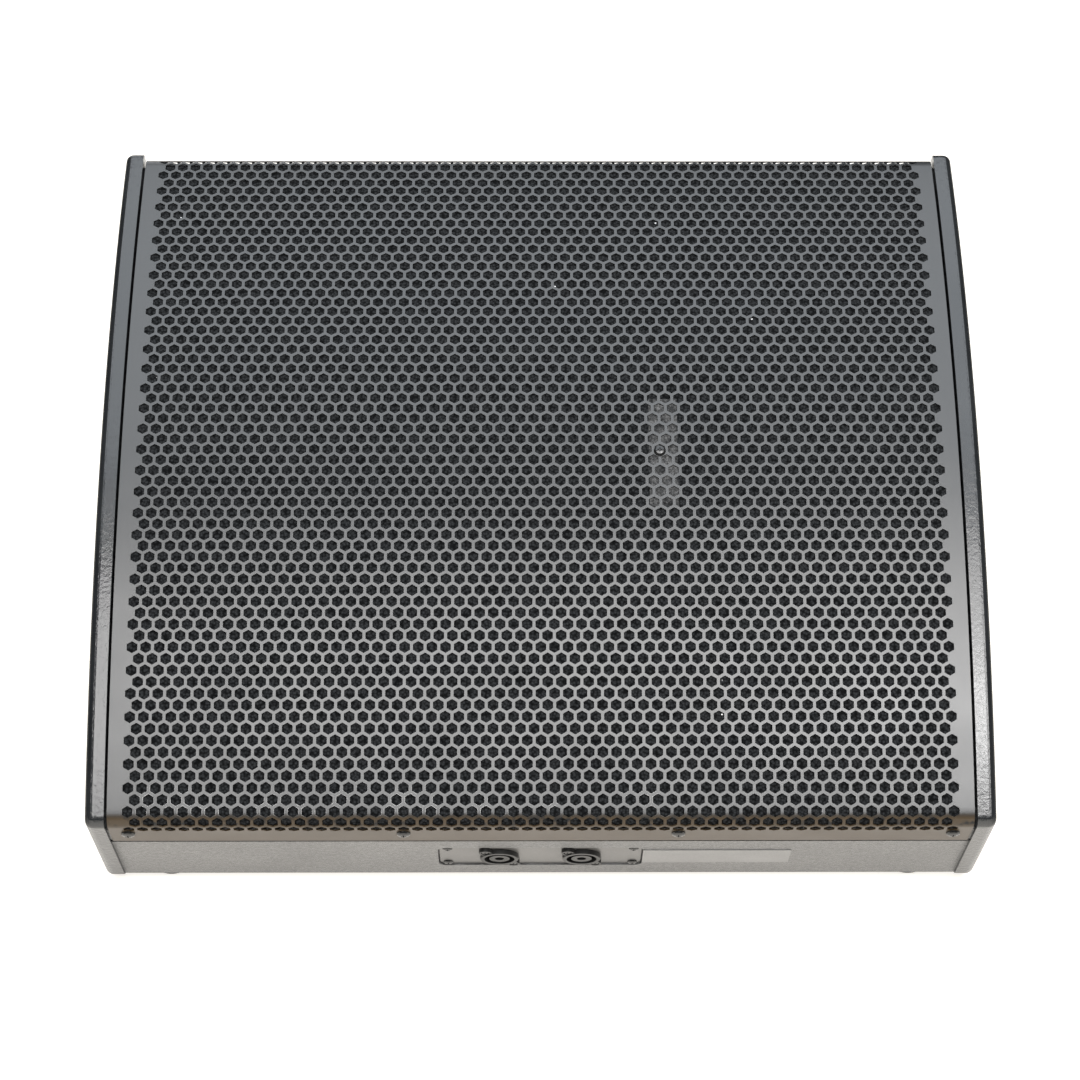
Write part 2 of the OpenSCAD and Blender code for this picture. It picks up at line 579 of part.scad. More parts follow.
// Four-pole loudspeaker socket: flange, ringed mouth, centre post and rear contacts
module speaker_socket(side) color("#18191b") difference() {
    on_kick(side*socket_pitch/2, plate_down) translate([0, 0, -plate_sunk]) difference() {
        union() {
            socket_flange();
            rotate_extrude() polygon([
                [0, -24], [11.9, -24], [11.9, 0], [12.6, 0], [12.6, 3.2], [10.2, 3.2], [10.2, -18],
                [6.9, -18], [6.9, 2.4], [0, 2.4]]);
            for (a = [45:90:315]) rotate(a) translate([4.5, -0.5, -34]) cube([4.8, 1, 10.5]);
        }
        difference() {
            bore(10.2, -1, 4);
            bore(6.9, -2, 5);
        }
        bore(3.15, -14, 4);
    }
    socket_screw_places() {
        bore(1.5 + gap, -6, 1);
        bore(2.9, 0, 3);
    }
}
module socket_left() speaker_socket(-1);
module socket_right() speaker_socket(1);
module socket_screws() color("#0f0f10") socket_screw_places() pan_screw(2.75, 1.2, 1.5, 8);

module label_plate() color("#303134") on_kick(0, 0) translate([plate_w/2 + plate_gap, -label_low, 0])
    linear_extrude(0.5) square([label_w, label_h]);

/* ---- leads: routes in millimetres from the nose edge ---- */
input_route = [
    [-28, 74, -33], [-20, 92, -42], [10, 128, -58], [36, 190, -66], [54, 258, -67], [73, 322, -66]];
woofer_route = [
    [76, 380, -64], [40, 392, -52], [10, 380, -10], [-2, 350, 40], [-7, 318, 86], [-12, 294, 115]];
driver_route = [[224, 360, -64], [238, 372, -40], [244, 388, 10], [236, 392, 50], [222, 388, 72]];
module input_lead() color("#7a1f1f") place() wire(input_route, 3);
module woofer_lead() color("#7a1f1f") place() wire(woofer_route, 2.6);
module driver_lead() color("#7a1f1f") place() wire(driver_route, 2.2);

/* ---- feet and handles ---- */
module foot_places() place() for (x = [-foot_x, foot_x], y = [foot_front, foot_back])
    translate([x, y, base_z]) children();
module rubber_feet() color("#0e0e0f") foot_places() rotate_extrude() polygon([
    [2.6, 0], [17, 0], [17, -2], [15.4, 0.8 - foot_h], [14.4, -foot_h],
    [6.5, -foot_h], [6.5, -3], [2.6, -3]]);
module foot_screws() color("#9a9a9a") foot_places() mirror([0, 0, 1]) translate([0, 0, 3])
    pan_screw(5, 3, 2.4, 15);

// Moulded cup for the fingers, with a flange flush in the side panel
module handle_cup(side) color("#161617") difference() {
    on_side(side) {
        translate([0, 0, -grip_flange - grip_sunk]) linear_extrude(grip_flange)
            polygon(round_rect(grip_l + 38, grip_h + 34, 11));
        translate([0, 0, -grip_depth]) linear_extrude(grip_depth - grip_sunk)
            polygon(round_rect(grip_l + 6, grip_h + 6, 16));
    }
    on_side(side) translate([0, 0, 3 - grip_depth]) linear_extrude(grip_depth)
        polygon(round_rect(grip_l, grip_h, 14));
    handle_screw_places(side) bore(2.1, -6, 3);
}
module handle_cup_left() handle_cup(-1);
module handle_cup_right() handle_cup(1);
module handle_screws() color("#1a1a1b") for (side = [-1, 1]) handle_screw_places(side)
    pan_screw(3.6, 1.8, 1.8, 9.5);

side_panel_left();
side_panel_right();
kick_panel();
base_panel();
rear_panel();
top_panel();
baffle();
baffle_battens();
corner_cleats();
damping_pads();
port_tubes();
grille();
grille_foam();
grille_support_block();
grille_centre_screw();
grille_lip_screws();
woofer_basket();
woofer_gasket();
woofer_surround();
woofer_cone();
woofer_dust_cap();
woofer_voice_coil();
woofer_spider();
woofer_top_plate();
woofer_magnet();
woofer_back_plate();
woofer_terminals();
woofer_screws();
horn();
horn_screws();
driver_front_plate();
driver_phase_plug();
driver_diaphragm();
driver_magnet();
driver_cover();
driver_screws();
crossover_board();
crossover_coils();
crossover_capacitors();
crossover_resistor();
crossover_standoffs();
crossover_screws();
connector_plate();
plate_screws();
socket_left();
socket_right();
socket_screws();
label_plate();
input_lead();
woofer_lead();
driver_lead();
rubber_feet();
foot_screws();
handle_cup_left();
handle_cup_right();
handle_screws();
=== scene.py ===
import bpy
import bmesh
import math
from mathutils import Matrix, Vector, noise


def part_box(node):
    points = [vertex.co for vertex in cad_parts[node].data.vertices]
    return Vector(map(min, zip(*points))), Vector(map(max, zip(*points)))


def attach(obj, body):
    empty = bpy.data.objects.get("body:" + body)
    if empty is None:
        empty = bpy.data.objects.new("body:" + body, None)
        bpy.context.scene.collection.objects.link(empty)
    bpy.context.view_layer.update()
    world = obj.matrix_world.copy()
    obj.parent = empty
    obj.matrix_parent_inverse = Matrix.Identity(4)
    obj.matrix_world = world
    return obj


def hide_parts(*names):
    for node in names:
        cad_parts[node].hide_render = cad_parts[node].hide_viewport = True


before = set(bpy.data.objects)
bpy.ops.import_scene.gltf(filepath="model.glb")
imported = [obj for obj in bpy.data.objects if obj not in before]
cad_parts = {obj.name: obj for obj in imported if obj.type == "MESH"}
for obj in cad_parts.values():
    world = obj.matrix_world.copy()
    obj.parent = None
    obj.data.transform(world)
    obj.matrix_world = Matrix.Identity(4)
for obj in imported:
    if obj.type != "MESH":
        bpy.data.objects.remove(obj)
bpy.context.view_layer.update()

MM = 0.001

# ---- the punched sheet: sizes that the CAD grille was made from, in metres ----
CHORD = 504.5*MM            # straight distance from the nose edge to the top edge
TILT = math.radians(35)     # of that straight line above the floor
ARC_HALF = math.radians(15.2)
SHEET = 1*MM                # thickness of the steel
NOSE_R = 10*MM              # outer radius of its bend at the nose
CREST_R = 12*MM             # outer radius of its bend at the top edge
LIP = 34.6*MM               # length of the plain lips
PITCH = 9*MM                # between neighbouring holes
HOLE = 7*MM                 # across the flats of a hole
ROWS = 68
FIRST_ROW = -14.9*MM        # middle of the lowest row, along the skin from the start of the arc
ROW_STEP = PITCH*math.sqrt(3)/2
LONG_ROW = 61               # holes in every other row, the lowest row included
FOAM = 8*MM                 # thickness of the foam behind the sheet
FOAM_GAP = 0.1*MM           # between the sheet and the foam
FOAM_LOW = 11*MM            # lower edge of the foam under the nose edge
FOAM_END = math.radians(60)     # angle on the top bend where the foam stops
PRESSED = 2*MM              # thickness that the foam is pressed to over the support block

FACE_R = CHORD/2/math.sin(ARC_HALF)
ARC_V = -FACE_R*math.cos(ARC_HALF)


def bend_centre(radius):
    """Height of a bend's centre over the face line, and the angle at which the bend meets the arc."""
    v = ARC_V + math.sqrt((FACE_R - radius)**2 - (CHORD/2 - radius)**2)
    return v, math.atan2(v - ARC_V, radius - CHORD/2)


NOSE_V, NOSE_A = bend_centre(NOSE_R)
CREST_V, CREST_A = bend_centre(CREST_R)
NOSE_L = NOSE_R*(math.pi - NOSE_A)
CREST_L = CREST_R*(math.pi - CREST_A)
ARC_L = FACE_R*(NOSE_A + CREST_A - math.pi)
LIP_START = -NOSE_L - (NOSE_V + LIP)
LIP_STOP = ARC_L + CREST_L + CREST_V + LIP
FOAM_START = -NOSE_L - (NOSE_V + FOAM_LOW)
FOAM_STOP = ARC_L + CREST_R*(math.pi - CREST_A - FOAM_END)

grille_low, grille_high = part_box("grille")
EDGE_Z = grille_low.z + LIP*math.cos(TILT)
EDGE_Y = grille_low.y + NOSE_R - NOSE_R*math.cos(TILT) + NOSE_V*math.sin(TILT)
HALF_W = grille_high.x
WELD = 1e5                  # corners that round to the same multiple of 1 m / WELD are one
SIDE_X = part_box("side_panel_right")[1].x


def fold(across, along, depth):
    """World point at a distance along the outer skin from the start of the arc, at a depth under it."""
    if along < ARC_L/2:
        s, bend, start, centre = along, NOSE_R, NOSE_A, NOSE_V
    else:
        s, bend, start, centre = ARC_L - along, CREST_R, CREST_A, CREST_V
    if s >= 0:
        angle = start - s/FACE_R
        radius, u, v = FACE_R - depth, CHORD/2, ARC_V
    else:
        angle = min(start - s/bend, math.pi)
        radius, u, v = bend - depth, bend, centre + min(s + bend*(math.pi - start), 0)
    u += radius*math.cos(angle)
    v += radius*math.sin(angle)
    if along >= ARC_L/2:
        u = CHORD - u
    return Vector((across, EDGE_Y + u*math.cos(TILT) - v*math.sin(TILT),
                   EDGE_Z + u*math.sin(TILT) + v*math.cos(TILT)))


def place_along(point):
    """Distance along the arc of the skin point nearest to a world point."""
    y, z = point.y - EDGE_Y, point.z - EDGE_Z
    u = y*math.cos(TILT) + z*math.sin(TILT)
    v = z*math.cos(TILT) - y*math.sin(TILT)
    return FACE_R*(NOSE_A - math.atan2(v - ARC_V, u - CHORD/2))


# ---- camera ----
def make_camera():
    """A long lens, well in front of the nose and above it, that looks down at the face."""
    place = (-0.01377, -1.71788, 1.21950)
    pitch, yaw, roll = math.radians(31.558), math.radians(-0.478), math.radians(0.223)
    data = bpy.data.cameras.new("camera")
    data.sensor_width = 36
    data.lens = 93.985
    camera = bpy.data.objects.new("camera", data)
    turn = Matrix.Rotation(yaw, 4, "Z") @ Matrix.Rotation(math.pi/2 - pitch, 4, "X")
    turn = turn @ Matrix.Rotation(roll, 4, "Z")
    camera.matrix_world = Matrix.Translation(place) @ turn
    bpy.context.scene.collection.objects.link(camera)
    bpy.context.scene.camera = camera


# ---- materials ----
class Shade:
    """A material being made: its nodes, its links and its Principled shader."""

    def __init__(self, name, roughness=0.5, metallic=0.0, specular=0.5):
        self.material = bpy.data.materials.new(name)
        self.material.use_nodes = True
        self.nodes = self.material.node_tree.nodes
        self.links = self.material.node_tree.links
        self.shader = self.nodes["Principled BSDF"]
        self.shader.inputs["Roughness"].default_value = roughness
        self.shader.inputs["Metallic"].default_value = metallic
        self.shader.inputs["Specular IOR Level"].default_value = specular
        self.place = self.nodes.new("ShaderNodeTexCoord").outputs["Object"]

    def put(self, value, socket):
        """Sets a socket to a number or colour, or links it to another node's output."""
        if isinstance(value, bpy.types.NodeSocket):
            self.links.new(value, socket)
        else:
            socket.default_value = value

    def stretched(self, x, y, z):
        """The place on the object, scaled along each axis."""
        node = self.nodes.new("ShaderNodeMapping")
        node.inputs["Scale"].default_value = (x, y, z)
        self.links.new(self.place, node.inputs["Vector"])
        return node.outputs["Vector"]

    def noise(self, size, detail=3.0, rough=0.55, place=None, distortion=0.0):
        """Soft noise with features of about this size in metres."""
        node = self.nodes.new("ShaderNodeTexNoise")
        node.inputs["Scale"].default_value = 1/size
        node.inputs["Detail"].default_value = detail
        node.inputs["Roughness"].default_value = rough
        node.inputs["Distortion"].default_value = distortion
        self.links.new(place or self.place, node.inputs["Vector"])
        return node.outputs["Fac"]

    def cells(self, size):
        """Distance to the middle of the nearest of a scatter of cells of about this size in metres."""
        node = self.nodes.new("ShaderNodeTexVoronoi")
        node.inputs["Scale"].default_value = 1/size
        self.links.new(self.place, node.inputs["Vector"])
        return node.outputs["Distance"]

    def ramp(self, value, low, high, start=0.0, end=1.0):
        """Maps low..high to start..end, held at both ends."""
        node = self.nodes.new("ShaderNodeMapRange")
        self.links.new(value, node.inputs["Value"])
        for name, number in (("From Min", low), ("From Max", high), ("To Min", start), ("To Max", end)):
            node.inputs[name].default_value = number
        return node.outputs["Result"]

    def math(self, operation, a, b):
        """One sum of two values, such as ADD or MULTIPLY."""
        node = self.nodes.new("ShaderNodeMath")
        node.operation = operation
        self.put(a, node.inputs[0])
        self.put(b, node.inputs[1])
        return node.outputs[0]

    def mix(self, share, a, b):
        """Colour a where share is 0 and colour b where it is 1."""
        node = self.nodes.new("ShaderNodeMix")
        node.data_type = "RGBA"
        self.put(share, node.inputs["Factor"])
        for value, name in ((a, "A"), (b, "B")):
            socket = [s for s in node.inputs if s.name == name and s.type == "RGBA"][0]
            self.put(value if isinstance(value, bpy.types.NodeSocket) else (*value, 1), socket)
        return [s for s in node.outputs if s.type == "RGBA"][0]

    def bump(self, height, distance, strength=1.0, over=None):
        """Relief of this height in metres, laid over another bump if one is given."""
        node = self.nodes.new("ShaderNodeBump")
        node.inputs["Strength"].default_value = strength
        node.inputs["Distance"].default_value = distance
        self.links.new(height, node.inputs["Height"])
        if over is not None:
            self.links.new(over, node.inputs["Normal"])
        return node.outputs["Normal"]

    def axis(self, name):
        """The X, Y or Z of the place on the object."""
        node = self.nodes.new("ShaderNodeSeparateXYZ")
        self.links.new(self.place, node.inputs[0])
        return node.outputs[name]

    def attribute(self, name):
        """The number that the mesh stores at each point under this name."""
        node = self.nodes.new("ShaderNodeAttribute")
        node.attribute_name = name
        return node.outputs["Fac"]

    def set(self, **values):
        """Links or sets the shader's sockets, such as Base_Color or Normal."""
        for name, value in values.items():
            self.put(value, self.shader.inputs[name.replace("_", " ")])
        return self.material


def grey(level, warm=0.0):
    """A near-neutral colour; warm is the share by which red is over and blue under the level."""
    return (level*(1 + warm), level, level*(1 - warm))


def cabinet_paint():
    """Black paint sprayed on with a coarse, sparkling grain, given a paler colour at the front over the
    kick panel as painted light from the floor.
    """
    s = Shade("cabinet_paint", specular=1.0)
    grain = s.noise(2.1*MM, 4, 0.62, distortion=0.8)
    fine = s.noise(0.8*MM, 2, 0.5)
    patches = s.noise(70*MM, 3, 0.5)
    # painted light: the front of the cabinet, over the kick panel, gets a paler colour for the light it
    # catches from the bright floor
    pale_area = s.ramp(s.axis("Y"), EDGE_Y + 80*MM, EDGE_Y + 110*MM, 1, 0)
    clean = s.mix(s.ramp(grain, 0.35, 0.7), grey(0.016), grey(0.045))
    colour = s.mix(pale_area, clean, s.mix(s.ramp(grain, 0.35, 0.7), grey(0.055), grey(0.150)))
    scuffs = s.ramp(s.noise(9*MM, 6, 0.7, s.stretched(1, 0.35, 0.35)), 0.70, 0.80, 0, 0.5)
    colour = s.mix(scuffs, colour, grey(0.16))
    rough = s.math("ADD", s.ramp(patches, 0.3, 0.7, 0.30, 0.40), s.ramp(fine, 0.3, 0.7, -0.04, 0.05))
    normal = s.bump(fine, 0.15*MM, 0.6, s.bump(grain, 0.8*MM, 1.0))
    return s.set(Base_Color=colour, Roughness=rough, Normal=normal)


def side_paint():
    """Smoother and glossier black paint with an orange-peel skin, rubbed dull on the outer rounds."""
    s = Shade("side_paint")
    peel = s.noise(3.2*MM, 3, 0.55, distortion=0.5)
    fine = s.noise(0.8*MM, 2, 0.5)
    patches = s.noise(60*MM, 3, 0.5)
    out = s.math("ABSOLUTE", s.axis("X"), 0)
    shine = s.math("MAXIMUM", s.ramp(out, SIDE_X - 4.5*MM, SIDE_X - 1.5*MM, 0.68, 0.06),
                   s.ramp(out, SIDE_X - 0.3*MM, SIDE_X - 0.1*MM, 0.0, 0.55))
    colour = s.mix(s.ramp(patches, 0.3, 0.7), grey(0.010, -0.1), grey(0.016, -0.08))
    rough = s.math("ADD", s.ramp(patches, 0.3, 0.7, 0.17, 0.23), s.ramp(fine, 0.3, 0.7, -0.03, 0.04))
    normal = s.bump(fine, 0.05*MM, 0.5, s.bump(peel, 0.28*MM, 0.8))
    return s.set(Base_Color=colour, Roughness=rough, Specular_IOR_Level=shine, Normal=normal)


def grille_paint():
    """Satin black powder coat. Some hole edges near the nose are bright, partly steel rubbed through and
    partly a painted highlight; the nose bend carries painted shade in blotches, and the lip under it a warm
    painted reflection.
    """
    s = Shade("grille_paint")
    fine = s.noise(0.9*MM, 2, 0.5)
    patches = s.noise(45*MM, 3, 0.55)
    colour = s.mix(s.ramp(patches, 0.3, 0.7), grey(0.017, -0.03), grey(0.023, -0.02))
    height = s.axis("Z")
    above = s.ramp(height, fold(0, -4*MM, 0).z, fold(0, 0, 0).z, 0, 1)
    below = s.ramp(height, fold(0, 10*MM, 0).z, fold(0, 24*MM, 0).z, 1, 0)
    left = s.ramp(s.axis("X"), -60*MM, 60*MM, 0.60, 0.50)
    # bright hole edges near the nose: partly steel rubbed through the coat, partly a painted highlight on
    # the rounded edges of the holes
    worn_and_glint = s.ramp(s.math("SUBTRACT", s.noise(22*MM, 4, 0.65), s.math("SUBTRACT", 1.08, left)), 0, 0.05)
    rim = s.ramp(s.attribute("rim"), 0.86, 0.98)
    rim_wear_and_highlight = s.math("MULTIPLY", s.math("MULTIPLY", worn_and_glint, rim), s.math("MULTIPLY", above, below))
    steel_and_highlight_colour = (0.66, 0.65, 0.64)
    colour = s.mix(rim_wear_and_highlight, colour, steel_and_highlight_colour)
    bend = s.math("MULTIPLY", s.math("SUBTRACT", 1, above),
                  s.ramp(height, fold(0, -12*MM, 0).z, fold(0, -8*MM, 0).z, 0, 1))
    # painted reflection: the lip under the nose is tinted warm for the warm floor that it mirrors
    painted_warm_reflection = (0.048, 0.033, 0.018)
    colour = s.mix(above, painted_warm_reflection, colour)
    # painted shade: the nose bend is darkened in noise-shaped blotches for the shade that falls on it, and
    # is also made rougher there
    painted_bend_shade = s.math("MULTIPLY", s.ramp(s.noise(9*MM, 4, 0.6), 0.50, 0.62), bend)
    colour = s.mix(painted_bend_shade, colour, grey(0.006))
    rough = s.math("ADD", s.ramp(patches, 0.3, 0.7, 0.32, 0.39), s.math("MULTIPLY", painted_bend_shade, 0.2))
    shine = s.ramp(above, 0, 1, 0.31, 0.75)
    return s.set(Base_Color=colour, Roughness=rough, Specular_IOR_Level=shine,
                 Normal=s.bump(fine, 0.05*MM, 0.5))


def foam():
    """Open-cell black foam, a little dusty, paler where it is pressed over the support block."""
    s = Shade("foam", roughness=1.0, specular=0.1)
    pores = s.cells(1.8*MM)
    fine = s.noise(0.6*MM, 2, 0.5)
    colour = s.mix(s.ramp(pores, 0.1, 0.75), grey(0.027, -0.06), grey(0.003, -0.1))
    blotches = s.ramp(s.noise(7*MM, 4, 0.7), 0.38, 0.62, 0.15, 1.0)
    pressed = s.math("MULTIPLY", s.attribute("pressed"), blotches)
    pale_area = s.mix(s.ramp(s.noise(1.5*MM, 3, 0.7), 0.4, 0.7), grey(0.035), grey(0.16))
    colour = s.mix(pressed, colour, pale_area)
    speck = s.math("MULTIPLY", s.ramp(s.cells(24*MM), 0.028, 0.018), s.ramp(s.noise(60*MM, 1), 0.5, 0.55))
    colour = s.mix(speck, colour, grey(0.75))
    return s.set(Base_Color=colour, Normal=s.bump(fine, 0.2*MM, 0.5, s.bump(pores, 1.0*MM, 1.0)))


def smooth_metal(name, level, roughness, grain_size, metallic=0.0, warm=0.0, specular=0.5):
    """Thin smooth finish on metal: slow patches, a fine grain and a slight ripple."""
    s = Shade(name, metallic=metallic, specular=specular)
    patches = s.noise(30*MM, 3)
    grain = s.noise(grain_size, 3, 0.6)
    colour = s.mix(s.ramp(patches, 0.3, 0.7), grey(level*0.86, warm), grey(level*1.14, warm))
    rough = s.ramp(grain, 0.3, 0.7, roughness - 0.05, roughness + 0.06)
    return s.set(Base_Color=colour, Roughness=rough, Normal=s.bump(grain, 0.03*MM, 0.5))


def moulded(name, colour, roughness, grain_size=0.9*MM, height=0.05*MM, specular=0.5):
    """Moulded plastic or rubber with a fine spark-eroded grain."""
    s = Shade(name, specular=specular)
    grain = s.noise(grain_size, 3, 0.6)
    patches = s.noise(25*MM, 3)
    dark = tuple(c*0.8 for c in colour)
    light = tuple(c*1.2 for c in colour)
    rough = s.ramp(patches, 0.3, 0.7, roughness - 0.05, roughness + 0.06)
    return s.set(Base_Color=s.mix(s.ramp(patches, 0.3, 0.7), dark, light), Roughness=rough,
                 Normal=s.bump(grain, height, 0.7))


def timber(name, dark, light):
    """Bare or thinly painted wood: long grain lines across the body and a slight ripple."""
    s = Shade(name, specular=0.3)
    lines = s.noise(3*MM, 5, 0.6, s.stretched(0.06, 1, 1), 1.2)
    return s.set(Base_Color=s.mix(s.ramp(lines, 0.35, 0.65), dark, light),
                 Roughness=s.ramp(lines, 0.3, 0.7, 0.6, 0.78), Normal=s.bump(lines, 0.15*MM, 0.6))


def fibrous(name, dark, light, size, height):
    """Paper, felt, wadding or woven cloth."""
    s = Shade(name, specular=0.2)
    strands = s.noise(size, 5, 0.7, distortion=1.5)
    return s.set(Base_Color=s.mix(s.ramp(strands, 0.35, 0.65), dark, light),
                 Roughness=s.ramp(strands, 0.3, 0.7, 0.82, 0.95), Normal=s.bump(strands, height, 0.8))


def wound(name, colour, metallic, turn_size):
    """Lacquered wire in close turns."""
    s = Shade(name, metallic=metallic)
    node = s.nodes.new("ShaderNodeTexWave")
    width_at_scale_one = 0.31
    node.inputs["Scale"].default_value = width_at_scale_one/turn_size
    node.inputs["Distortion"].default_value = 0.4
    s.links.new(s.place, node.inputs["Vector"])
    turns = node.outputs["Fac"]
    dark = tuple(c*0.45 for c in colour)
    return s.set(Base_Color=s.mix(turns, dark, colour), Roughness=s.ramp(turns, 0, 1, 0.5, 0.28),
                 Normal=s.bump(turns, turn_size*0.4, 0.8))


MATERIALS = {
    "cabinet_paint": cabinet_paint(),
    "side_paint": side_paint(),
    "baffle_paint": moulded("baffle_paint", grey(0.02), 0.6, 1.6*MM, 0.15*MM),
    "bare_timber": timber("bare_timber", (0.38, 0.24, 0.12), (0.60, 0.43, 0.24)),
    "block_paint": timber("block_paint", grey(0.10, 0.05), grey(0.20, 0.04)),
    "grille_paint": grille_paint(),
    "foam": foam(),
    "wadding": fibrous("wadding", grey(0.62, 0.02), grey(0.84, 0.02), 2*MM, 1.2*MM),
    "black_screw": smooth_metal("black_screw", 0.010, 0.16, 0.4*MM, specular=0.55),
    "zinc_screw": smooth_metal("zinc_screw", 0.62, 0.32, 0.5*MM, metallic=1.0, warm=0.02),
    "basket_paint": smooth_metal("basket_paint", 0.03, 0.42, 0.8*MM),
    "gasket": fibrous("gasket", grey(0.03, 0.05), grey(0.06, 0.05), 1*MM, 0.2*MM),
    "surround": moulded("surround", grey(0.02), 0.65, 0.7*MM, 0.05*MM),
    "cone_paper": fibrous("cone_paper", grey(0.014, 0.04), grey(0.035, 0.04), 2.2*MM, 0.2*MM),
    "spider": fibrous("spider", (0.36, 0.22, 0.07), (0.55, 0.38, 0.14), 0.8*MM, 0.1*MM),
    "coil": wound("coil", (0.72, 0.33, 0.14), 0.9, 0.8*MM),
    "pole_steel": smooth_metal("pole_steel", 0.5, 0.36, 0.6*MM, metallic=1.0),
    "ferrite": moulded("ferrite", grey(0.04), 0.55, 1.5*MM, 0.1*MM),
    "terminal": smooth_metal("terminal", 0.55, 0.3, 0.5*MM, metallic=1.0, warm=0.25),
    "horn_plastic": moulded("horn_plastic", grey(0.02), 0.45),
    "port_plastic": moulded("port_plastic", grey(0.022), 0.48),
    "diaphragm": smooth_metal("diaphragm", 0.66, 0.3, 0.4*MM, metallic=1.0, warm=-0.02),
    "phase_plug": smooth_metal("phase_plug", 0.6, 0.38, 0.6*MM, metallic=1.0),
    "board": fibrous("board", (0.03, 0.13, 0.05), (0.05, 0.2, 0.08), 0.6*MM, 0.02*MM),
    "capacitor": moulded("capacitor", (0.03, 0.08, 0.30), 0.3, 1.2*MM, 0.02*MM),
    "resistor": moulded("resistor", (0.78, 0.75, 0.66), 0.75, 0.8*MM, 0.06*MM),
    "spacer": moulded("spacer", (0.72, 0.69, 0.60), 0.5, 0.8*MM, 0.03*MM),
    "plate_paint": smooth_metal("plate_paint", 0.085, 0.36, 0.8*MM, warm=0.03, specular=0.9),
    "socket_plastic": moulded("socket_plastic", grey(0.012), 0.36, 0.6*MM, 0.02*MM, 0.35),
    "label": smooth_metal("label", 0.16, 0.36, 1.2*MM, specular=0.9),
    "cable": moulded("cable", (0.26, 0.02, 0.02), 0.45, 1.0*MM, 0.03*MM),
    "foot_rubber": moulded("foot_rubber", grey(0.018), 0.7, 0.8*MM, 0.08*MM),
    "handle_plastic": moulded("handle_plastic", grey(0.02), 0.42, 0.9*MM, 0.07*MM),
}


def dress(piece, slot):
    """Gives a new piece the material of this slot."""
    piece.data.materials.append(MATERIALS[slot])


def dress_cad_nodes():
    """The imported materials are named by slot, so each is exchanged for the finished one of that name."""
    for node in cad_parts.values():
        for place in node.material_slots:
            place.material = MATERIALS[place.material.name.split(".")[0]]


# ---- punched grille ----
def add_object(name, mesh):
    piece = bpy.data.objects.new(name, mesh)
    bpy.context.scene.collection.objects.link(piece)
    return piece


def closed(front, count):
    """The front faces of a layer of count points, with the same faces on a second layer and the walls."""
    border = [(a, b) for face in front for a, b in zip(face, face[1:] + face[:1])]
    shared = set(border)
    walls = [(b, a, a + count, b + count) for a, b in border if (b, a) not in shared]
    back = [[i + count for i in reversed(face)] for face in front]
    return front + back + walls


def add_sheet(name, slot, node, points, faces, mark, values, sharp):
    """A sheet in place of a CAD node; mark names the values that its material reads at the points."""
    mesh = bpy.data.meshes.new(name)
    mesh.from_pydata(points, [], faces)
    attribute = mesh.attributes.new(mark, "FLOAT", "POINT")
    attribute.data.foreach_set("value", values)
    mesh.shade_smooth()
    mesh.set_sharp_from_angle(angle=sharp)
    piece = add_object(name, mesh)
    dress(piece, slot)
    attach(piece, "enclosure")
    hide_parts(node)
    return piece


def flat_sheet():
    """The sheet laid flat as one layer: x across, y along the skin, with a hexagonal hole in each cell."""
    points, rims, faces, known = [], [], [], {}

    def vertex(x, y, rim=0.0):
        key = (round(x*WELD), round(y*WELD))
        if key not in known:
            known[key] = len(points)
            points.append((x, y, 0))
            rims.append(rim)
        return known[key]

    def hexagon(x, y, across, rim):
        radius = across/math.sqrt(3)
        corners = [math.radians(30 + 60*k) for k in range(6)]
        return [vertex(x + radius*math.cos(a), y + radius*math.sin(a), rim) for a in corners]

    rows = []
    for row in range(ROWS):
        count = LONG_ROW - row % 2
        middle = FIRST_ROW + row*ROW_STEP
        rows.append((count*PITCH/2, middle, count))
        for i in range(count):
            x = (i - (count - 1)/2)*PITCH
            cell, hole = hexagon(x, middle, PITCH, 0.0), hexagon(x, middle, HOLE, 1.0)
            for k in range(6):
                j = (k + 1) % 6
                faces.append((cell[k], cell[j], hole[j], hole[k]))

    rise = PITCH/math.sqrt(3)/2
    for side in (-1, 1):
        edge = [(side*half, middle + step) for half, middle, count in rows for step in (-rise, rise)]
        edge = [(edge[0][0], LIP_START)] + edge + [(edge[-1][0], LIP_STOP)]
        for (x0, y0), (x1, y1) in zip(edge, edge[1:]):
            faces.append((vertex(x0, y0), vertex(side*HALF_W, y0), vertex(side*HALF_W, y1), vertex(x1, y1)))
    for (half, middle, count), side, end in ((rows[0], -1, LIP_START), (rows[-1], 1, LIP_STOP)):
        zigzag = [(i*PITCH/2 - half, middle + side*rise*(1 + i % 2)) for i in range(2*count + 1)]
        for (x0, y0), (x1, y1) in zip(zigzag, zigzag[1:]):
            faces.append((vertex(x0, y0), vertex(x1, y1), vertex(x1, end), vertex(x0, end)))
    return points, rims, faces


